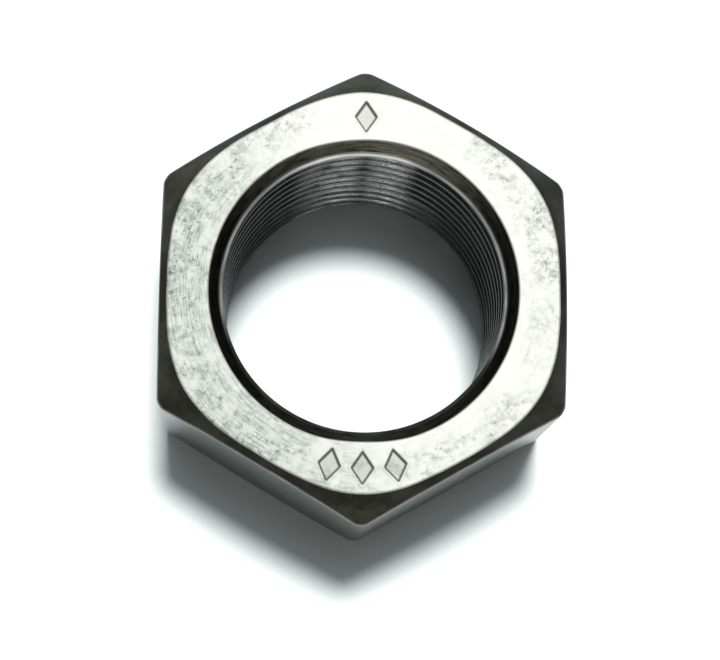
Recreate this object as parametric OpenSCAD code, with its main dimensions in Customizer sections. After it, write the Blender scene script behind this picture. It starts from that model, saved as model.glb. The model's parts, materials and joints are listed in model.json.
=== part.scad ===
// Hexagon nut with a metric fine thread, one solid piece of steel.
// The origin is the middle of the lower bearing face and +Z runs along the thread's axis.
// The thread is drawn as its core hole, the plain cylinder that its crests lie on.

/* [Hexagon] */
// Width across flats, a little under the 30 mm spanner it is made for
across_flats = 29.6; // [29.2:0.1:30]
// Height between the two bearing faces
nut_height = 16.5; // [12:0.5:22]
// Diameter that the six upright corners are blunted to
corner_circle = 33.8; // [33:0.1:34]

/* [Chamfer] */
// Diameter of the circle where the corner chamfer meets a bearing face
chamfer_circle = 29.2; // [28:0.1:29.4]
// Angle of the corner chamfer above the bearing face, in degrees
chamfer_angle = 38; // [25:1:45]
// How far the break along a flat's upper and lower edge reaches in over the bearing face
edge_break_width = 0.6; // [0.3:0.05:1]
// How far the same break reaches down the flat
edge_break_drop = 0.6; // [0.3:0.05:1.2]

/* [Thread] */
// Nominal thread diameter
thread_diameter = 22; // [20:0.5:24]
// Thread pitch
thread_pitch = 1.5; // [1:0.25:2]
// Opening that the internal thread's tolerance adds to its core hole
core_allowance = 0.124; // [0:0.001:0.3]
// Diameter of the countersink's mouth as a share of the thread diameter
countersink_ratio = 1.025; // [1:0.001:1.08]

/* [Inspection marks] */
// Depth of the stamped lozenge marks in the upper face
mark_depth = 0.25; // [0.1:0.05:0.5]
// Distance of the marks from the axis
mark_circle_radius = 12.95; // [12.5:0.05:13.1]
// Length of a mark along the radius
mark_length = 2.5; // [1.5:0.1:2.8]
// Width of a mark across the radius
mark_width = 1.7; // [1:0.1:2.4]
// Angle between neighbouring marks of the row, in degrees
mark_spacing = 10.5; // [9:0.5:14]
// Number of marks in the row
mark_count = 3; // [1:1:5]

/* [Quality] */
// Facets on a full circle
$fn = 180; // [60:12:360]

/* [Hidden] */
half_width = across_flats / 2;
flat_count = 6;
// Distance from the axis to a corner before it is blunted
corner_reach = half_width / cos(30);
chamfer_drop = (corner_reach - chamfer_circle / 2) * tan(chamfer_angle);
// Basic core diameter of a 60 degree metric thread, plus its tolerance
core_diameter = thread_diameter - 1.0825 * thread_pitch + core_allowance;
core_radius = core_diameter / 2;
mouth_radius = thread_diameter * countersink_ratio / 2;
// The countersink's included angle is 90 degrees, so its depth is its radial width
countersink_depth = mouth_radius - core_radius;
overshoot = 1;

// Upright hexagonal bar with blunted corners and two of its flats square to X
module hexagon_bar() {
    intersection() {
        rotate([0, 0, 30])
            cylinder(r = corner_reach, h = nut_height, $fn = flat_count);
        cylinder(d = corner_circle, h = nut_height);
    }
}

// Turned blank: its cones cut the chamfer off both ends of the bar
module chamfer_envelope() {
    rotate_extrude()
        polygon([
            [0, 0],
            [chamfer_circle / 2, 0],
            [corner_reach, chamfer_drop],
            [corner_reach, nut_height - chamfer_drop],
            [chamfer_circle / 2, nut_height],
            [0, nut_height]
        ]);
}

// Wedge that breaks the upper edge of one flat
module edge_wedge() {
    slope = edge_break_drop / edge_break_width;
    translate([half_width - edge_break_width, across_flats / 2, nut_height])
        rotate([90, 0, 0])
            linear_extrude(across_flats)
                polygon([
                    [0, 0],
                    [edge_break_width + overshoot, -(edge_break_width + overshoot) * slope],
                    [edge_break_width + overshoot, overshoot],
                    [-overshoot / slope, overshoot]
                ]);
}

// The same wedge on all six flats, at both ends
module edge_breaks() {
    for (k = [0 : flat_count - 1])
        rotate([0, 0, k * 60]) {
            edge_wedge();
            translate([0, 0, nut_height])
                mirror([0, 0, 1])
                    edge_wedge();
        }
}

// Core hole of the thread
module core_hole() {
    translate([0, 0, -overshoot])
        cylinder(r = core_radius, h = nut_height + 2 * overshoot);
}

// Countersinks at both mouths, turned as one profile
module countersinks() {
    wide = mouth_radius + overshoot;
    narrow = core_radius - overshoot;
    rotate_extrude()
        polygon([
            [0, -overshoot],
            [wide, -overshoot],
            [narrow, countersink_depth + overshoot],
            [0, countersink_depth + overshoot]
        ]);
    rotate_extrude()
        polygon([
            [0, nut_height + overshoot],
            [wide, nut_height + overshoot],
            [narrow, nut_height - countersink_depth - overshoot],
            [0, nut_height - countersink_depth - overshoot]
        ]);
}

// Outline of a lozenge that is pointed along the radius
module lozenge(length, width) {
    polygon([[length / 2, 0], [0, width / 2], [-length / 2, 0], [0, -width / 2]]);
}

// One stamped mark: a shallow pocket in the shape of a plain lozenge
module stamped_mark(angle) {
    rotate([0, 0, angle])
        translate([mark_circle_radius, 0, nut_height - mark_depth])
            linear_extrude(mark_depth + overshoot)
                lozenge(mark_length, mark_width);
}

// A single mark on one corner and a row of them on the opposite one
module inspection_marks() {
    stamped_mark(90);
    for (k = [0 : mark_count - 1])
        stamped_mark(270 + (k - (mark_count - 1) / 2) * mark_spacing);
}

module nut() {
    color([0.52, 0.53, 0.51])
        difference() {
            intersection() {
                hexagon_bar();
                chamfer_envelope();
            }
            edge_breaks();
            core_hole();
            countersinks();
            inspection_marks();
        }
}

nut();
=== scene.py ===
"""Looks of the hex nut: one watertight steel mesh in place of the CAD solid, its materials and a studio.

The mesh is a grid of columns round the thread's axis. Each column runs from the foot of the upper
countersink out over the upper face, down a flat, in over the lower face to its mouth and back up
the bore. The bore's part of the grid is sheared along the helix, so that thread crests and roots
follow its rows.
"""

import json
import math

import bpy
import numpy as np
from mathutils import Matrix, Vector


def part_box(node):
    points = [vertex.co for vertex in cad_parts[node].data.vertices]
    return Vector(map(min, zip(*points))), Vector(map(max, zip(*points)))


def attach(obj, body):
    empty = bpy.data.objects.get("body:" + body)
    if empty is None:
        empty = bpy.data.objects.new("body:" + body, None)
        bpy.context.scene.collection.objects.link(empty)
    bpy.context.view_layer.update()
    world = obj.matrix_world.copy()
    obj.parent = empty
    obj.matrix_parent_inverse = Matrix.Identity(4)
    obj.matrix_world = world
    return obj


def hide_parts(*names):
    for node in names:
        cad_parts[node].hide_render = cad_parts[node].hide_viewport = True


MM = 0.001
TURN = 2 * math.pi
SIDES = 6
# Azimuths in degrees, seen from the camera
RIGHT, BACK, LEFT, FRONT = 0, 90, 180, 270

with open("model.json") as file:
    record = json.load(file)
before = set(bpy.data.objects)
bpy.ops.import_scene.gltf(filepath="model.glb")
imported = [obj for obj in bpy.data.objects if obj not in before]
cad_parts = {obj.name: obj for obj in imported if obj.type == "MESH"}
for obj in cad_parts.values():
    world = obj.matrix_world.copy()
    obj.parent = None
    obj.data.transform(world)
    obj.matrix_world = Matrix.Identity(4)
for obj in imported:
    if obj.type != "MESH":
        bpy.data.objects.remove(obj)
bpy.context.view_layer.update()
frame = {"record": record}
record = frame["record"]

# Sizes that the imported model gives, in millimetres
_, nut_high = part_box("nut")
HALF_FLATS = nut_high.x / MM
CORNER_REACH = nut_high.y / MM
HEIGHT = nut_high.z / MM
thread_mount = next(mount for mount in record["mounts"] if mount["name"] == "thread")
CREST_RADIUS = thread_mount["dims"]["r_mm"]

# Hexagon, in millimetres
# How abruptly a flat turns into the circle that blunts the corners, per millimetre
CORNER_SHARPNESS = 22.0
# Where a chamfer runs out on a face, and how much further that is at a corner than on average
FACE_RIM = 14.45
FACE_RIM_SWING = 0.3
# Where a chamfer meets a flat: depth in the flat's middle, and how fast it deepens outwards
SHOULDER_DROP = 0.52
SHOULDER_SLOPE = 0.6
RIM_ROUNDING = 0.1
SHOULDER_ROUNDING = 0.2
MOUTH_ROUNDING = 0.1

# Unevenness round the nut: waves from the first number to below the second, height in millimetres
RIM_RIPPLE = (7, 40, 0.06)
SHOULDER_RIPPLE = (5, 50, 0.03)
MOUTH_RIPPLE = (9, 60, 0.012)
UPPER_RIM_SEED, LOWER_RIM_SEED = 11, 12
UPPER_SHOULDER_SEED, LOWER_SHOULDER_SEED = 21, 22
MOUTH_SEED = 5

# Thread, in millimetres and in shares of its pitch
THREAD_PITCH = 1.5
ROOT_RADIUS = 11.0
CREST_HALF_SHARE = 0.15
FLANK_SHARE = 0.3
FLANK_SOFTENING = 0.025
# Height of a crest at azimuth zero
THREAD_START = 0.2
STEPS_PER_PITCH = 20
# Share of a step that the thread's rows keep clear of the rings at both ends
RING_CLEARANCE = 0.35

# Countersinks, in millimetres
MOUTH_RADIUS = 11.275
# Where the upper mouth is pushed in beside the marks: azimuth and half-width in degrees, depth
MOUTH_BULGES = (
    (270, 13, 0.16),
    (97, 16, 0.1),
)
# Foot of the upper countersink, as radius and depth: from the cone over a narrow step and the
# burnished ledge to the bore's wall
CONE_FOOT = (10.53, 0.97)
STEP_EDGE = (10.49, 0.99)
STEP_FOOT = (10.47, 1.08)
LEDGE_EDGE = (10.25, 1.18)
# Depth below the upper face from which the thread's grooves are full
LEDGE_GROOVE = 1.45
FOOT_ROUNDING = 0.015
LEDGE_ROUNDING = 0.05
# How bright the narrow step is, and how near to its edge
STEP_SHINE = 0.35
STEP_SHINE_REACH = 0.02
# How far above the ledge's outer edge its shine starts, and how far below its inner edge it fades
LEDGE_SHINE_RISE = 0.03
LEDGE_SHINE_FADE = (0.05, 0.12)

# Stamped lozenge marks: azimuths in degrees, sizes in millimetres
MARK_AZIMUTHS = (90.0, 259.5, 270.0, 280.5)
MARK_RADIUS = 12.95
MARK_HALF_LENGTH = 1.25
MARK_HALF_WIDTH = 0.85
MARK_WALL = 0.13
MARK_DEPTH = 0.24
MARK_FLOOR_DARKENING = 0.3
LIP_HEIGHT = 0.025
LIP_WIDTH = 0.16
# Depths between which the marks' relief dies away
RELIEF_FADE = (0.5, 0.05)

# Small dents on the edges: azimuth in degrees, radius, half-width and depth in millimetres
DENTS = (
    (308.6, 14.55, 0.30, 0.10),
    (302.0, 14.60, 0.16, 0.06),
    (162.0, 11.42, 0.22, 0.07),
    (206.5, 14.30, 0.20, 0.07),
    (215.2, 14.20, 0.16, 0.06),
    (148.5, 14.72, 0.18, 0.06),
    (51.0, 14.45, 0.20, 0.06),
    (12.0, 14.40, 0.15, 0.05),
    (314.0, 11.36, 0.14, 0.05),
    (238.0, 11.40, 0.12, 0.04),
    (118.0, 11.42, 0.14, 0.05),
)
# Width of a dent round the nut as a share of its length along the radius
DENT_WIDTH_SHARE = 0.8
# Depths between which the dents die away
DENT_FADE = (1.5, 0.7)

# Columns of the grid, in degrees of azimuth
COLUMN_STEP = 1.0
CORNER_STEP = 0.32
CORNER_HALF_SPAN = 3
MARK_STEP = 0.28
MARK_SPANS = ((66, 97), (252, 288))

# Rows of the grid: steps round a rounded corner, then rows on each span between two corners
ARC_STEPS = 6
CONE_ROWS = 6
UPPER_FACE_ROWS = 44
UPPER_CHAMFER_ROWS = 9
FLAT_ROWS = 14
LOWER_CHAMFER_ROWS = 7
LOWER_FACE_ROWS = 14
# Two supporting rows at each end of a span, and the margin that its even rows keep
SUPPORT_SHARES = (0.015, 0.04)
EVEN_ROW_MARGIN = 0.05
# Wear is full in the middle of a rounded corner, and less at its ends and beside it
ARC_END_WEAR_LOSS = 0.4
SPAN_END_WEAR = 0.3
SPAN_END_SHARE = 0.02

# Zones of the mesh, each with a material of its own
ZONES = ("face", "chamfer", "flat", "countersink", "thread")


# Shape of the hexagon and its ends

def smooth(value, start, end):
    """Eased step from zero at start to one at end."""
    share = np.clip((value - start) / (end - start), 0, 1)
    return share * share * (3 - 2 * share)


def ripple(azimuth, seed, lowest, highest, height):
    """Small unevenness round the nut, the same on every run."""
    draw = np.random.default_rng(seed)
    total = np.zeros_like(azimuth)
    for wave in range(lowest, highest):
        total += draw.normal() * np.cos(wave * azimuth + draw.uniform(0, TURN)) / math.sqrt(wave)
    return height * total / math.sqrt(highest - lowest)


def hump(azimuth, middle, half_width):
    """A smooth bump of height one round an azimuth, whose place and width are in degrees."""
    away = (np.degrees(azimuth) - middle + 180) % 360 - 180
    return np.exp(-(away / half_width) ** 2)


def hexagon_radius(azimuth):
    """Distance from the axis to the side faces, whose six corners are blunted to a circle."""
    side = TURN / SIDES
    off_flat = (azimuth + side / 2) % side - side / 2
    straight = HALF_FLATS / np.cos(off_flat)
    blend = np.exp(-CORNER_SHARPNESS * (straight - CORNER_REACH)) + 1
    return CORNER_REACH - np.log(blend) / CORNER_SHARPNESS


def face_rim(azimuth, seed):
    """Outer boundary of a bearing face: a circle drawn out a little towards the corners."""
    swing = FACE_RIM_SWING * np.cos(SIDES * azimuth)
    return FACE_RIM - swing + ripple(azimuth, seed, *RIM_RIPPLE)


def mouth_radius(azimuth, bulge):
    """Edge of a countersink. A bulge of one pushes it in where the marks were stamped beside it."""
    pushed = sum(depth * hump(azimuth, middle, half_width)
                 for middle, half_width, depth in MOUTH_BULGES)
    return MOUTH_RADIUS - bulge * pushed + ripple(azimuth, MOUTH_SEED, *MOUTH_RIPPLE)


def lozenge_distance(radius, azimuth, mark):
    """Distance in from a mark's outline, below zero outside it."""
    angle = azimuth - math.radians(mark)
    along = np.abs(radius * np.cos(angle) - MARK_RADIUS) / MARK_HALF_LENGTH
    across = np.abs(radius * np.sin(angle)) / MARK_HALF_WIDTH
    scale = MARK_HALF_LENGTH * MARK_HALF_WIDTH / math.hypot(MARK_HALF_LENGTH, MARK_HALF_WIDTH)
    inside = (1 - along - across) * scale
    return np.where(np.cos(angle) > 0, inside, -MARK_RADIUS)


def face_relief(radius, azimuth):
    """Depth of the upper face below its highest point, and how much the marks are darkened."""
    depth = np.full_like(radius, LIP_HEIGHT)
    grime = np.zeros_like(radius)
    for mark in MARK_AZIMUTHS:
        inside = lozenge_distance(radius, azimuth, mark)
        down = smooth(inside, 0, MARK_WALL)
        lip = np.exp(-((inside + LIP_WIDTH / 2) / (LIP_WIDTH / 2)) ** 2)
        depth += MARK_DEPTH * down - LIP_HEIGHT * lip * (1 - down)
        # One halfway down a mark's wall, zero at its top and bottom
        halfway = 4 * down * (1 - down)
        # The marks are darkest halfway down their walls, and darker on their floors
        grime = np.maximum(grime, np.maximum(halfway, MARK_FLOOR_DARKENING * down))
    return depth, grime


def dents(radius, azimuth):
    """Depth of the small dents along the edges."""
    depth = np.zeros_like(radius)
    for middle, reach, half_width, deep in DENTS:
        across = radius * np.sin(azimuth - math.radians(middle))
        facing = np.cos(azimuth - math.radians(middle)) > 0
        away = np.hypot(across, (radius - reach) * DENT_WIDTH_SHARE) / half_width
        depth += np.where(facing, deep * np.exp(-away ** 2), 0)
    return depth


# Thread and countersinks

def thread_radius(azimuth, height):
    """Radius of the threaded wall before the countersinks are cut."""
    turns = (height - THREAD_START) / THREAD_PITCH - azimuth / TURN
    from_crest = np.abs((turns + 0.5) % 1 - 0.5)
    shares = [np.clip((from_crest + shift - CREST_HALF_SHARE) / FLANK_SHARE, 0, 1)
              for shift in (-FLANK_SOFTENING, 0, FLANK_SOFTENING)]
    return CREST_RADIUS + (ROOT_RADIUS - CREST_RADIUS) * sum(shares) / len(shares)


def bore_radius(azimuth, height):
    """Radius of the bore's wall, and how far the lower countersink cuts into the thread there."""
    thread = thread_radius(azimuth, height)
    lower_cone = mouth_radius(azimuth, 0) - height
    groove = smooth(HEIGHT - height, LEDGE_EDGE[1], LEDGE_GROOVE)
    under_ledge = CREST_RADIUS + (ROOT_RADIUS - CREST_RADIUS) * groove
    return np.maximum(np.minimum(thread, under_ledge), lower_cone), lower_cone - thread


def burnished(radius, height):
    """How bright the upper countersink's foot is: its narrow step a little, its ledge fully."""
    depth = HEIGHT - height
    step = STEP_SHINE * (np.abs(depth - STEP_EDGE[1]) < STEP_SHINE_REACH)
    risen = smooth(depth, STEP_FOOT[1] - LEDGE_SHINE_RISE, STEP_FOOT[1])
    faded = smooth(depth, *(LEDGE_EDGE[1] + below for below in LEDGE_SHINE_FADE))
    return (step + risen * (1 - faded)) * (radius < CONE_FOOT[0] + FOOT_ROUNDING)


# Columns and rows of the grid

def column_azimuths():
    """Azimuths of the grid's columns, closer together at the corners and at the marks."""
    degrees, here = [], 0.0
    side = 360 / SIDES
    while here < 360:
        degrees.append(here)
        to_corner = abs(here % side - side / 2)
        if any(start < here < end for start, end in MARK_SPANS):
            here += MARK_STEP
        elif to_corner < CORNER_HALF_SPAN:
            here += CORNER_STEP
        else:
            here += COLUMN_STEP
    return np.radians(np.array(degrees) * 360 / here)


def unit(along_r, along_z):
    """Unit vector of a direction in a column's plane."""
    length = np.hypot(along_r, along_z)
    return along_r / length, along_z / length


def towards(point, goal, distance):
    """The point at a distance from one profile point towards another."""
    along_r, along_z = unit(goal[0] - point[0], goal[1] - point[1])
    return point[0] + along_r * distance, point[1] + along_z * distance


def arc_rows(start, corner, end):
    """Points and wear of a rounded corner."""
    rows, wear = [], []
    for step in range(ARC_STEPS + 1):
        t = step / ARC_STEPS
        a, b, c = (1 - t) ** 2, 2 * t * (1 - t), t * t
        rows.append(tuple(a * start[k] + b * corner[k] + c * end[k] for k in (0, 1)))
        wear.append(1 - abs(2 * t - 1) * ARC_END_WEAR_LOSS)
    return rows, wear


def span_rows(start, end, count):
    """Points and wear of a straight span: even rows, and two supporting ones at each end."""
    even = np.linspace(0, 1, count + 2)[1:-1]
    even = even[(even > EVEN_ROW_MARGIN) & (even < 1 - EVEN_ROW_MARGIN)]
    last = [1 - share for share in reversed(SUPPORT_SHARES)]
    rows, wear = [], []
    for share in (*SUPPORT_SHARES, *even, *last):
        rows.append(tuple(start[k] + (end[k] - start[k]) * share for k in (0, 1)))
        at_end = share < SPAN_END_SHARE or share > 1 - SPAN_END_SHARE
        wear.append(SPAN_END_WEAR if at_end else 0.0)
    return rows, wear


def rounded_profile(corners, lead_in, lead_out):
    """Points, zones and wear of the rows down a profile whose corners are rounded.

    corners holds (point, rounding, zone of the arc, rows of the span that follows, its zone).
    """
    points = [lead_in] + [corner[0] for corner in corners] + [lead_out]
    ends = []
    for index, (point, rounding, *_) in enumerate(corners):
        before, after = points[index], points[index + 2]
        ends.append((towards(point, before, rounding), towards(point, after, rounding)))
    rows, zones, wear = [], [], []
    for index, (point, _, arc_zone, count, span_zone) in enumerate(corners):
        start, end = ends[index]
        arc, arc_wear = arc_rows(start, point, end)
        rows += arc
        zones += [arc_zone] * len(arc)
        wear += arc_wear
        if index + 1 < len(corners):
            span, span_wear = span_rows(end, ends[index + 1][0], count)
            rows += span
            # The arc's last row begins the span's first strip of faces
            zones[-1] = span_zone
            zones += [span_zone] * len(span)
            wear += span_wear
    return rows, zones, wear


def outer_rows(azimuth):
    """Rows from the foot of the upper countersink over the outside to the lower mouth."""
    hexagon = hexagon_radius(azimuth)
    drop = SHOULDER_DROP + SHOULDER_SLOPE * (hexagon - HALF_FLATS)
    upper_drop = drop + ripple(azimuth, UPPER_SHOULDER_SEED, *SHOULDER_RIPPLE)
    lower_drop = drop + ripple(azimuth, LOWER_SHOULDER_SEED, *SHOULDER_RIPPLE)
    high = np.full_like(azimuth, HEIGHT)
    low = np.zeros_like(azimuth)
    upper_mouth, lower_mouth = mouth_radius(azimuth, 1), mouth_radius(azimuth, 0)
    upper_rim, lower_rim = face_rim(azimuth, UPPER_RIM_SEED), face_rim(azimuth, LOWER_RIM_SEED)
    ledge_edge, step_foot, step_edge, cone_foot = [
        (np.full_like(azimuth, radius), high - depth)
        for radius, depth in (LEDGE_EDGE, STEP_FOOT, STEP_EDGE, CONE_FOOT)]
    corners = [
        (ledge_edge, LEDGE_ROUNDING, "countersink", 0, "countersink"),
        (step_foot, FOOT_ROUNDING, "countersink", 0, "countersink"),
        (step_edge, FOOT_ROUNDING, "countersink", 0, "countersink"),
        (cone_foot, FOOT_ROUNDING, "countersink", CONE_ROWS, "countersink"),
        ((upper_mouth, high), MOUTH_ROUNDING, "face", UPPER_FACE_ROWS, "face"),
        ((upper_rim, high), RIM_ROUNDING, "face", UPPER_CHAMFER_ROWS, "chamfer"),
        ((hexagon, high - upper_drop), SHOULDER_ROUNDING, "flat", FLAT_ROWS, "flat"),
        ((hexagon, low + lower_drop), SHOULDER_ROUNDING, "flat", LOWER_CHAMFER_ROWS, "chamfer"),
        ((lower_rim, low), RIM_ROUNDING, "face", LOWER_FACE_ROWS, "face"),
        ((lower_mouth, low), MOUTH_ROUNDING, "face", 0, "face"),
    ]
    # The profile comes up the bore's wall and leaves along the lower cone, 45 degrees steep
    lead_in = (ledge_edge[0], ledge_edge[1] - 1)
    lead_out = (lower_mouth - 1, low + 1)
    return rounded_profile(corners, lead_in, lead_out)


# Mesh

class Grid:
    """Vertices and faces of the nut as they are built."""

    def __init__(self):
        self.points = []
        self.count = 0
        self.faces = []
        self.zones = []
        self.wear = []
        self.grime = []

    def add_points(self, radius, azimuth, height, wear, grime):
        """Adds points in millimetres and returns the index of each."""
        self.points.append(np.stack([radius * np.cos(azimuth), radius * np.sin(azimuth), height], 1))
        self.wear.append(np.broadcast_to(wear, radius.shape))
        self.grime.append(np.broadcast_to(grime, radius.shape))
        first = self.count
        self.count += len(radius)
        return np.arange(first, self.count)

    def add_face(self, corners, zone):
        """Adds one face between points that are already there."""
        self.faces.append([int(corner) for corner in corners])
        self.zones.append(zone)


def near_top(height, fade):
    """Eased step from zero to one between two depths below the upper face."""
    return smooth(height, HEIGHT - fade[0], HEIGHT - fade[1])


def add_outside(grid, azimuth):
    """Adds the rows of the outside and returns the first and last one."""
    rows, zones, wear = outer_rows(azimuth)
    indices = []
    for number, (radius, height) in enumerate(rows):
        relief, grime = face_relief(radius, azimuth)
        marked = near_top(height, RELIEF_FADE)
        dented = near_top(height, DENT_FADE)
        worn = np.maximum(wear[number], burnished(radius, height))
        height = height - relief * marked - dents(radius, azimuth) * dented
        indices.append(grid.add_points(radius, azimuth, height, worn, grime * marked))
    for number in range(len(rows) - 1):
        here, following = indices[number], indices[number + 1]
        for left in range(len(azimuth)):
            right = (left + 1) % len(azimuth)
            grid.add_face((here[left], following[left], following[right], here[right]), zones[number])
    return indices[0], indices[-1]


def add_bore(grid, azimuth, top_ring, bottom_ring):
    """Adds the sheared grid of the thread between the two rings."""
    points = np.concatenate(grid.points)
    level_height = THREAD_PITCH / STEPS_PER_PITCH
    top, bottom = points[top_ring], points[bottom_ring]
    margin = level_height * RING_CLEARANCE
    columns = []
    for number, angle in enumerate(azimuth):
        start = THREAD_START + THREAD_PITCH * angle / TURN
        first = math.ceil((bottom[number, 2] + margin - start) / level_height)
        last = math.floor((top[number, 2] - margin - start) / level_height)
        levels = np.arange(first, last + 1)
        height = start + levels * level_height
        here = np.full(len(levels), angle)
        radius, cut = bore_radius(here, height)
        indices = grid.add_points(radius, here, height, burnished(radius, height), 0.0)
        columns.append((first, indices, cut))
    for left in range(len(azimuth)):
        right = (left + 1) % len(azimuth)
        # Once round the axis, the helix has climbed by one pitch
        shift = STEPS_PER_PITCH if right == 0 else 0
        add_strip(grid, columns[left], columns[right], shift,
                  (top_ring[left], top_ring[right]), (bottom_ring[left], bottom_ring[right]))


def add_strip(grid, left, right, shift, tops, bottoms):
    """Joins two neighbouring columns of the bore, and both to the rings at the ends."""
    left_first, left_indices, left_cut = left
    right_first, right_indices = right[0] - shift, right[1]
    low = max(left_first, right_first)
    high = min(left_first + len(left_indices), right_first + len(right_indices)) - 1
    for level in range(low, high):
        a, b = level - left_first, level - right_first
        zone = "countersink" if left_cut[a] > 0 and left_cut[a + 1] > 0 else "thread"
        grid.add_face((left_indices[a], left_indices[a + 1], right_indices[b + 1], right_indices[b]), zone)
    a, b = high - left_first, high - right_first
    fan(grid, list(left_indices[a:]) + [tops[0]], list(right_indices[b:]) + [tops[1]])
    a, b = low - left_first, low - right_first
    fan(grid, [bottoms[0]] + list(left_indices[:a + 1]), [bottoms[1]] + list(right_indices[:b + 1]))


def fan(grid, left, right):
    """Fills between two short runs of points, one of which may be longer than the other."""
    a, b = 0, 0
    while a < len(left) - 1 or b < len(right) - 1:
        left_ahead, right_ahead = len(left) - a, len(right) - b
        if left_ahead == right_ahead:
            grid.add_face((left[a], left[a + 1], right[b + 1], right[b]), "countersink")
            a, b = a + 1, b + 1
        elif left_ahead > right_ahead:
            grid.add_face((left[a], left[a + 1], right[b]), "countersink")
            a += 1
        else:
            grid.add_face((left[a], right[b + 1], right[b]), "countersink")
            b += 1


def build_mesh():
    """The nut's mesh, with wear and the marks' darkening stored on its points."""
    azimuth = column_azimuths()
    grid = Grid()
    top_ring, bottom_ring = add_outside(grid, azimuth)
    add_bore(grid, azimuth, top_ring, bottom_ring)
    points = np.concatenate(grid.points) * MM
    mesh = bpy.data.meshes.new("nut_body")
    mesh.from_pydata(points.tolist(), [], grid.faces)
    mesh.polygons.foreach_set("material_index", [ZONES.index(zone) for zone in grid.zones])
    mesh.polygons.foreach_set("use_smooth", [True] * len(grid.faces))
    for name, values in (("wear", grid.wear), ("grime", grid.grime)):
        layer = mesh.attributes.new(name, "FLOAT", "POINT")
        layer.data.foreach_set("value", np.concatenate(values).astype(np.float32))
    mesh.validate(verbose=False)
    mesh.update()
    return mesh


# Materials

# Sockets of a Mix node that is set to colours
MIX_SHARE, MIX_FIRST, MIX_SECOND = 0, 6, 7
MIX_RESULT = 2
BUMP_DEPTH = 0.006
THREAD_BUMP_DEPTH = 0.005


class Recipe:
    """A material under construction, with short calls for the nodes it needs."""

    def __init__(self, name):
        self.material = bpy.data.materials.new(name)
        self.material.use_nodes = True
        self.nodes = self.material.node_tree.nodes
        self.links = self.material.node_tree.links
        self.shader = self.nodes["Principled BSDF"]
        self.place = self.scaled(self.add("TexCoord").outputs["Object"], 1 / MM)
        self.x, self.y, self.z = self.add("SeparateXYZ", [self.place]).outputs
        squares = self.plus(self.times(self.x, self.x), self.times(self.y, self.y))
        self.radius = self.math("SQRT", squares)

    def add(self, kind, inputs=(), **settings):
        """A new node with its settings and its first inputs filled in."""
        node = self.nodes.new("ShaderNode" + kind)
        for key, value in settings.items():
            setattr(node, key, value)
        for index, value in enumerate(inputs):
            self.fill(node.inputs[index], value)
        return node

    def fill(self, socket, value):
        """Links an output to a socket, or sets the socket to a plain value."""
        if isinstance(value, bpy.types.NodeSocket):
            self.links.new(value, socket)
        else:
            socket.default_value = value

    def math(self, operation, first, second=0.0):
        """A calculation on one or two values."""
        return self.add("Math", [first, second], operation=operation).outputs[0]

    def plus(self, first, second):
        return self.math("ADD", first, second)

    def minus(self, first, second):
        return self.math("SUBTRACT", first, second)

    def times(self, first, second):
        return self.math("MULTIPLY", first, second)

    def over(self, first, second):
        return self.math("DIVIDE", first, second)

    def larger(self, first, second):
        return self.math("MAXIMUM", first, second)

    def scaled(self, vector, factor):
        """A vector times a number."""
        node = self.add("VectorMath", [vector], operation="SCALE")
        node.inputs["Scale"].default_value = factor
        return node.outputs[0]

    def noise(self, vector, scale, detail=2.0, roughness=0.5, distortion=0.0):
        """Noise from about zero to one. A larger scale makes finer features."""
        node = self.add("TexNoise", [vector])
        node.inputs["Scale"].default_value = scale
        node.inputs["Detail"].default_value = detail
        node.inputs["Roughness"].default_value = roughness
        node.inputs["Distortion"].default_value = distortion
        return node.outputs["Fac"]

    def ring_noise(self, along, radial=0, upright=0, detail=3.0, roughness=0.5):
        """Noise whose features run round the axis: along is how short they are.

        radial and upright are how fine they are across the radius and up the axis.
        """
        ahead = [self.times(self.over(part, self.radius), along) for part in (self.x, self.y)]
        across = self.plus(self.times(self.radius, radial), self.times(self.z, upright))
        place = self.add("CombineXYZ", [*ahead, across]).outputs[0]
        return self.noise(place, 1.0, detail, roughness)

    def step(self, value, start, end):
        """Eased step from zero at start to one at end."""
        return self.add("MapRange", [value, start, end, 0.0, 1.0],
                        interpolation_type="SMOOTHSTEP").outputs[0]

    def side_mask(self, azimuth, start, end):
        """One on the side that faces an azimuth in degrees, easing to zero round the nut.

        start and end are cosines of the angle away from that azimuth.
        """
        angle = math.radians(azimuth)
        along = self.plus(self.times(self.x, math.cos(angle)), self.times(self.y, math.sin(angle)))
        return self.step(self.over(along, self.radius), start, end)

    def mixed(self, share, first, second):
        """A colour between two others."""
        node = self.add("Mix", data_type="RGBA")
        self.fill(node.inputs[MIX_SHARE], share)
        self.fill(node.inputs[MIX_FIRST], first)
        self.fill(node.inputs[MIX_SECOND], second)
        return node.outputs[MIX_RESULT]

    def layered(self, colour, *layers):
        """A colour under layers, each given as where it lies, how strong it is and its colour."""
        for where, strength, layer_colour in layers:
            colour = self.mixed(self.times(where, strength), colour, layer_colour)
        return colour

    def stored(self, name):
        """A value that the mesh stores on its points."""
        return self.add("Attribute", attribute_name=name).outputs["Fac"]

    def curls(self, vector, scale, width):
        """Thin winding lines, where a noise passes through its middle value."""
        value = self.noise(vector, scale, detail=1.0, distortion=0.6)
        away = self.math("ABSOLUTE", self.minus(value, 0.5))
        return self.minus(1.0, self.step(away, 0.0, width))

    def finish(self, colour, roughness, height, depth_mm=BUMP_DEPTH):
        """Fills the shader's colour, roughness and bump, and returns the material."""
        self.fill(self.shader.inputs["Base Color"], colour)
        self.fill(self.shader.inputs["Roughness"], roughness)
        self.shader.inputs["Metallic"].default_value = 1.0
        bump = self.add("Bump")
        bump.inputs["Distance"].default_value = depth_mm * MM
        self.fill(bump.inputs["Height"], height)
        self.links.new(bump.outputs[0], self.shader.inputs["Normal"])
        return self.material


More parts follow.
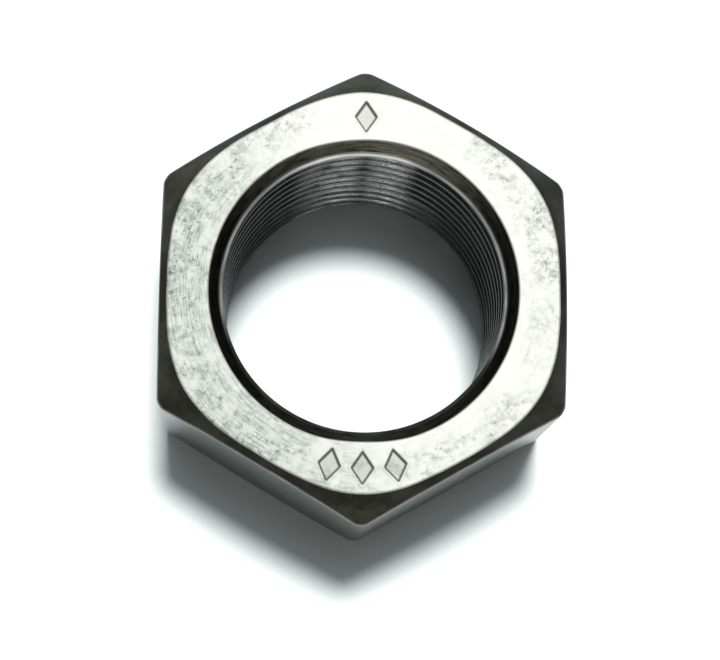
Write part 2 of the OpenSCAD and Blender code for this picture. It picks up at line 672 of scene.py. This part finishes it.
# Colours of the upper and lower face
FACED_BRIGHT = (0.58, 0.55, 0.525, 1)
FACED_TURNED = (0.49, 0.475, 0.445, 1)
FACED_DULL_AND_SHADE = (0.41, 0.425, 0.395, 1)
FACED_HAZE = (0.31, 0.335, 0.31, 1)
FACED_SPOT = (0.27, 0.29, 0.265, 1)
FACED_SCOURED = (0.25, 0.28, 0.245, 1)
FACED_PIT = (0.17, 0.19, 0.17, 1)
FACED_LINE = (0.16, 0.17, 0.15, 1)
MARK_DARKENING_COLOUR = (0.1, 0.1, 0.08, 1)


def face_cover(r, patches, left_side):
    """How much of the face's stains and pits shows: most at the sides, least near the bore."""
    pitted_sides = r.larger(r.side_mask(150, 0.6, 0.95), r.side_mask(20, 0.65, 0.95))
    front_right = r.side_mask(298, 0.8, 0.98)
    around = r.larger(pitted_sides, r.times(r.larger(left_side, front_right), 0.8))
    around = r.plus(0.14, r.times(around, 0.86))
    from_bore = r.step(r.radius, 11.8, 13.2)
    outwards = r.plus(r.plus(0.2, r.times(left_side, 0.5)), r.times(from_bore, 0.8))
    patchy = r.plus(0.25, r.times(r.step(patches, 0.38, 0.58), 0.75))
    return r.times(r.times(around, outwards), patchy)


def face_material():
    """Bright faced steel: turning marks, pitted bands, grey patches, scratches and painted shade over the
    left side.
    """
    r = Recipe("faced_steel")
    patches = r.noise(r.place, 0.45, detail=3.0, roughness=0.6)
    clouds = r.noise(r.place, 1.1, detail=4.0, roughness=0.65, distortion=0.4)
    mottle = r.noise(r.place, 1.7, detail=4.0, roughness=0.6, distortion=0.4)
    specks = r.noise(r.place, 2.9, detail=3.0, roughness=0.55, distortion=0.5)
    curls = r.curls(r.place, 1.5, width=0.035)
    fine_rings = r.ring_noise(8, radial=10, roughness=0.65)
    broad_rings = r.ring_noise(4, radial=2.6, detail=2.0)

    left_side = r.side_mask(200, 0.0, 0.85)
    cover = face_cover(r, patches, left_side)
    haze = r.times(r.step(clouds, 0.36, 0.68), cover)
    spots = r.times(r.step(mottle, 0.44, 0.64), cover)
    pits = r.times(r.step(specks, 0.54, 0.7), cover)
    lines = r.times(r.times(curls, r.step(specks, 0.42, 0.6)), cover)
    scoured = r.times(r.times(r.step(fine_rings, 0.42, 0.72), left_side), r.step(patches, 0.34, 0.56))

    colour = r.layered(
        FACED_BRIGHT,
        (r.step(broad_rings, 0.4, 0.75), 0.35, FACED_TURNED),
        # Painted shade over the left side, partly the dull grey-green tone of the steel there
        (left_side, 0.4, FACED_DULL_AND_SHADE),
        (haze, 0.42, FACED_HAZE),
        (spots, 0.58, FACED_SPOT),
        (scoured, 0.55, FACED_SCOURED),
        (pits, 0.34, FACED_PIT),
        (lines, 0.3, FACED_LINE),
        # Darkening of the marks' walls and floors
        (r.stored("grime"), 0.85, MARK_DARKENING_COLOUR),
    )
    roughness = r.plus(0.7, r.times(r.plus(pits, scoured), 0.08))
    height = r.minus(r.times(fine_rings, 0.4), r.plus(pits, r.times(lines, 0.5)))
    return r.finish(colour, roughness, height)


# Colours of the chamfers
OXIDE_DARK = (0.05, 0.046, 0.036, 1)
OXIDE_PALE = (0.082, 0.077, 0.063, 1)
OXIDE_PAINTED_SHADE = (0.012, 0.011, 0.008, 1)
OXIDE_STAIN = (0.13, 0.12, 0.08, 1)
OXIDE_SCRATCH = (0.2, 0.2, 0.18, 1)
OXIDE_RUBBED = (0.25, 0.25, 0.22, 1)


def chamfer_material():
    """Chamfers under a dark oxide skin, scratched round the nut, rubbed along their edges and given
    painted shade on the right.
    """
    r = Recipe("oxidised_steel")
    rings = r.ring_noise(10, radial=7, detail=4.0, roughness=0.65)
    patches = r.noise(r.place, 0.5, detail=4.0, roughness=0.6)
    scratches = r.step(r.ring_noise(7, radial=16, detail=2.0), 0.66, 0.76)
    stain = r.times(r.side_mask(271, 0.985, 0.999), r.step(patches, 0.4, 0.6))
    rub = r.times(r.stored("wear"), r.step(rings, 0.4, 0.65))
    colour = r.layered(
        r.mixed(r.step(patches, 0.35, 0.7), OXIDE_DARK, OXIDE_PALE),
        # Painted shade on the chamfers at the right
        (r.side_mask(18, 0.75, 0.98), 0.5, OXIDE_PAINTED_SHADE),
        (stain, 0.4, OXIDE_STAIN),
        (scratches, 0.4, OXIDE_SCRATCH),
        (rub, 0.3, OXIDE_RUBBED),
    )
    roughness = r.plus(0.38, r.times(rings, 0.2))
    return r.finish(colour, roughness, r.plus(rings, r.times(scratches, -0.5)))


# Colours of the flats
DRAWN_DARK = (0.068, 0.068, 0.062, 1)
DRAWN_PALE = (0.1, 0.1, 0.095, 1)
DRAWN_LINE = (0.19, 0.19, 0.18, 1)
DRAWN_SCRATCH = (0.3, 0.3, 0.29, 1)
DRAWN_RUBBED = (0.26, 0.26, 0.24, 1)
DRAWN_PAINTED_SHADE = (0.015, 0.014, 0.012, 1)
# The left and right flats carry painted shade upwards from the first of these depths, fully from the
# second
ARRIS_PAINTED_SHADE_DEPTHS = (0.95, 0.7)


def flat_material():
    """Grey side faces with fine level drawing lines, and painted shade along two of their upper edges."""
    r = Recipe("drawn_steel")
    lines = r.ring_noise(6, upright=11, detail=4.0, roughness=0.65)
    patches = r.noise(r.place, 0.4, detail=4.0, roughness=0.6)
    scratches = r.step(r.ring_noise(7, upright=22, detail=1.0), 0.66, 0.74)
    rub = r.times(r.stored("wear"), r.step(patches, 0.35, 0.65))
    outermost = r.larger(r.side_mask(RIGHT, 0.93, 0.98), r.side_mask(LEFT, 0.93, 0.98))
    upper_arris = r.step(r.z, *(HEIGHT - depth for depth in ARRIS_PAINTED_SHADE_DEPTHS))
    colour = r.layered(
        r.mixed(r.step(patches, 0.3, 0.7), DRAWN_DARK, DRAWN_PALE),
        (r.step(lines, 0.45, 0.75), 0.5, DRAWN_LINE),
        (scratches, 0.4, DRAWN_SCRATCH),
        (rub, 0.25, DRAWN_RUBBED),
        # Painted shade along the upper edges of the left and right flats
        (r.times(outermost, upper_arris), 0.7, DRAWN_PAINTED_SHADE),
    )
    roughness = r.plus(0.2, r.times(lines, 0.12))
    return r.finish(colour, roughness, r.minus(lines, scratches))


# Colours of the countersinks
BLACKENED_DARK = (0.055, 0.05, 0.041, 1)
BLACKENED_PALE = (0.12, 0.11, 0.09, 1)
BLACKENED_PAINTED_SHEEN = (0.42, 0.39, 0.34, 1)
BURNISHED_DULL = (0.4, 0.4, 0.38, 1)
BURNISHED_HIGHLIGHT = (0.85, 0.84, 0.8, 1)
# Burnish and wear in the bore are full round the back, centred on this azimuth, and fade at the front
BURNISH_AZIMUTH = 85
BURNISH_FADE = (-0.55, -0.1)


def countersink_material():
    """Countersinks: nearly black, turned, with old oil on them, a painted sheen at the back and front, and
    a burnished inner ring with a painted highlight round the back.
    """
    r = Recipe("blackened_steel")
    rings = r.ring_noise(7, radial=9, roughness=0.6)
    # Where the painted sheen lies: round the back, and faintly round the front
    ends = r.larger(r.side_mask(BACK, 0.35, 0.95), r.times(r.side_mask(FRONT, 0.35, 0.95), 0.2))
    uneven = r.step(r.ring_noise(2.5, radial=3, roughness=0.6), 0.25, 0.6)
    uneven = r.times(r.plus(0.5, r.times(uneven, 0.5)), r.side_mask(BURNISH_AZIMUTH, *BURNISH_FADE))
    ring = r.times(r.stored("wear"), uneven)
    # The burnished ring carries a painted highlight round the back
    burnish = r.mixed(r.side_mask(93, 0.82, 0.98), BURNISHED_DULL, BURNISHED_HIGHLIGHT)
    colour = r.mixed(r.step(rings, 0.35, 0.7), BLACKENED_DARK, BLACKENED_PALE)
    # Painted sheen along the turning rings at the back and front
    colour = r.mixed(r.times(ends, r.step(rings, 0.2, 0.7)), colour, BLACKENED_PAINTED_SHEEN)
    colour = r.mixed(ring, colour, burnish)
    roughness = r.plus(r.plus(0.22, r.times(rings, 0.15)), r.times(ring, 0.25))
    return r.finish(colour, roughness, rings)


# Colours of the thread
CREST_DARK = (0.038, 0.04, 0.039, 1)
CREST_PALE = (0.07, 0.073, 0.072, 1)
CREST_FAR_HIGH_PAINTED_LIGHT = (0.1, 0.102, 0.102, 1)
CREST_FAR_LOW_PAINTED_LIGHT = (0.26, 0.265, 0.265, 1)
CREST_LOWEST_PAINTED_SHADE = (0.012, 0.012, 0.012, 1)
FLANK_DARK = (0.06, 0.061, 0.058, 1)
FLANK_PALE = (0.12, 0.123, 0.117, 1)
FLANK_FAR_PAINTED_SHADE = (0.02, 0.021, 0.02, 1)
FLANK_LOWEST_PAINTED_HIGHLIGHT = (0.38, 0.38, 0.37, 1)
THREAD_PAINTED_HIGHLIGHT = (0.6, 0.61, 0.6, 1)
THREAD_WORN = (0.3, 0.3, 0.285, 1)
# How far behind a crest its flank's colour starts and is full, in millimetres
FLANK_COLOUR_DEPTHS = (0.01, 0.1)


def thread_material():
    """Cut thread: dark and oily. At the back, painted light and shade: paler crests, darker flanks,
    near-black lowest crests, bright lowest flanks and two highlight streaks.
    """
    r = Recipe("cut_thread")
    tool_marks = r.ring_noise(8, upright=16, roughness=0.6)
    drift = r.ring_noise(5, upright=0.5, roughness=0.6)
    flank = r.step(r.radius, *(CREST_RADIUS + depth for depth in FLANK_COLOUR_DEPTHS))
    # Where the painted light and shade at the back lie
    far_side = r.side_mask(BACK, 0.7, 0.98)
    # The lowest turns at the back: painted shade on their crests, a painted highlight on their flanks
    low_turns = r.times(r.step(r.z, 7.0, 5.0), far_side)
    # Painted highlights in two streaks round the back, strongest on the flanks
    highlight_streaks = r.larger(r.side_mask(79, 0.975, 0.9998), r.side_mask(104, 0.95, 0.9995))
    highlight_streaks = r.times(highlight_streaks, r.plus(0.25, r.times(flank, 0.75)))
    highlight_streaks = r.times(highlight_streaks, r.step(drift, 0.2, 0.6))
    worn = r.times(r.stored("wear"), r.side_mask(BURNISH_AZIMUTH, *BURNISH_FADE))
    crest = r.layered(
        r.mixed(r.step(tool_marks, 0.35, 0.7), CREST_DARK, CREST_PALE),
        # Painted light on the crests at the back, paler lower down
        (far_side, 0.85, r.mixed(r.step(r.z, 13.0, 8.0), CREST_FAR_HIGH_PAINTED_LIGHT, CREST_FAR_LOW_PAINTED_LIGHT)),
        # Painted shade on the lowest crests at the back
        (low_turns, 0.9, CREST_LOWEST_PAINTED_SHADE),
    )
    oiled = r.layered(
        r.mixed(r.step(drift, 0.35, 0.65), FLANK_DARK, FLANK_PALE),
        # Painted shade on the flanks at the back
        (far_side, 0.7, FLANK_FAR_PAINTED_SHADE),
        # Painted highlight on the lowest flanks at the back
        (low_turns, 0.8, FLANK_LOWEST_PAINTED_HIGHLIGHT),
    )
    colour = r.layered(r.mixed(flank, crest, oiled), (highlight_streaks, 0.85, THREAD_PAINTED_HIGHLIGHT))
    colour = r.mixed(worn, colour, THREAD_WORN)
    roughness = r.plus(r.plus(0.2, r.times(tool_marks, 0.15)), r.times(worn, 0.25))
    return r.finish(colour, roughness, tool_marks, THREAD_BUMP_DEPTH)


def build_nut():
    """The visual nut, in place of the CAD solid. Its materials follow the order of ZONES."""
    mesh = build_mesh()
    for make in (face_material, chamfer_material, flat_material, countersink_material, thread_material):
        mesh.materials.append(make())
    nut = bpy.data.objects.new("nut_body", mesh)
    bpy.context.scene.collection.objects.link(nut)
    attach(nut, "root")
    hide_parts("nut")


# Studio

FLOOR_HALF_SIZE = 2.0
FLOOR_COLOUR = (0.82, 0.83, 0.83, 1)
FLOOR_ROUGHNESS = 0.9
# Strength of the room's light on the nut and as the camera sees it
ROOM_LIGHT = 0.14
ROOM_SEEN = 1.0
ROOM_COLOUR = (0.9, 1.0, 0.98, 1)
# Lamps: name, strength, colour, spread, lean towards the back and towards the right, in degrees
LAMPS = (
    ("key", 3.9, (0.95, 1.0, 0.99), 10.0, 16.0, 3.0),
    ("halo", 0.55, (0.8, 1.0, 0.98), 26.0, 16.0, 3.0),
    ("front_left", 0.05, (1.0, 1.0, 1.0), 5.0, -43.0, -10.0),
    ("front_right", 0.05, (1.0, 1.0, 1.0), 8.0, -43.0, 16.5),
)
# Camera: offset from the middle of the upper face and lens in millimetres, and turns in degrees
CAMERA_OFFSET = (-6.33, -28.74, 131.97)
CAMERA_TURNS = (10.987, -2.743, 0.641)
CAMERA_LENS = 93.78
CAMERA_SENSOR = 36.0
# Nearest distance that the camera shows, in metres
CAMERA_CLIP = 0.01


def build_floor():
    """A plain pale floor under the nut."""
    s = FLOOR_HALF_SIZE
    mesh = bpy.data.meshes.new("floor")
    mesh.from_pydata([(-s, -s, 0), (s, -s, 0), (s, s, 0), (-s, s, 0)], [], [(0, 1, 2, 3)])
    floor = bpy.data.objects.new("floor", mesh)
    bpy.context.scene.collection.objects.link(floor)
    material = bpy.data.materials.new("floor_paper")
    material.use_nodes = True
    shader = material.node_tree.nodes["Principled BSDF"]
    shader.inputs["Base Color"].default_value = FLOOR_COLOUR
    shader.inputs["Roughness"].default_value = FLOOR_ROUGHNESS
    mesh.materials.append(material)


def build_lamps():
    """A soft key light from above and a little behind, a wider halo and two faint front lamps."""
    for name, strength, colour, spread, from_behind, from_right in LAMPS:
        lamp = bpy.data.lights.new(name, "SUN")
        lamp.energy = strength
        lamp.color = colour
        lamp.angle = math.radians(spread)
        light = bpy.data.objects.new(name, lamp)
        light.rotation_euler = (-math.radians(from_behind), math.radians(from_right), 0)
        bpy.context.scene.collection.objects.link(light)


def build_room():
    """An even room that looks brighter to the camera than it lights the nut."""
    world = bpy.data.worlds.new("room")
    world.use_nodes = True
    bpy.context.scene.world = world
    nodes, links = world.node_tree.nodes, world.node_tree.links
    backdrop = nodes["Background"]
    backdrop.inputs["Color"].default_value = ROOM_COLOUR
    seen = nodes.new("ShaderNodeLightPath").outputs["Is Camera Ray"]
    strength = nodes.new("ShaderNodeMapRange")
    links.new(seen, strength.inputs["Value"])
    strength.inputs["To Min"].default_value = ROOM_LIGHT
    strength.inputs["To Max"].default_value = ROOM_SEEN
    links.new(strength.outputs[0], backdrop.inputs["Strength"])


def build_camera():
    """Looks down on the nut from in front of it and a little to the left."""
    lens = bpy.data.cameras.new("camera")
    lens.lens = CAMERA_LENS
    lens.sensor_width = CAMERA_SENSOR
    lens.clip_start = CAMERA_CLIP
    camera = bpy.data.objects.new("camera", lens)
    camera.location = [CAMERA_OFFSET[0] * MM, CAMERA_OFFSET[1] * MM, (HEIGHT + CAMERA_OFFSET[2]) * MM]
    camera.rotation_euler = [math.radians(turn) for turn in CAMERA_TURNS]
    bpy.context.scene.collection.objects.link(camera)
    bpy.context.scene.camera = camera


build_nut()
build_floor()
build_lamps()
build_room()
build_camera()
bpy.context.scene.view_settings.view_transform = "Standard"
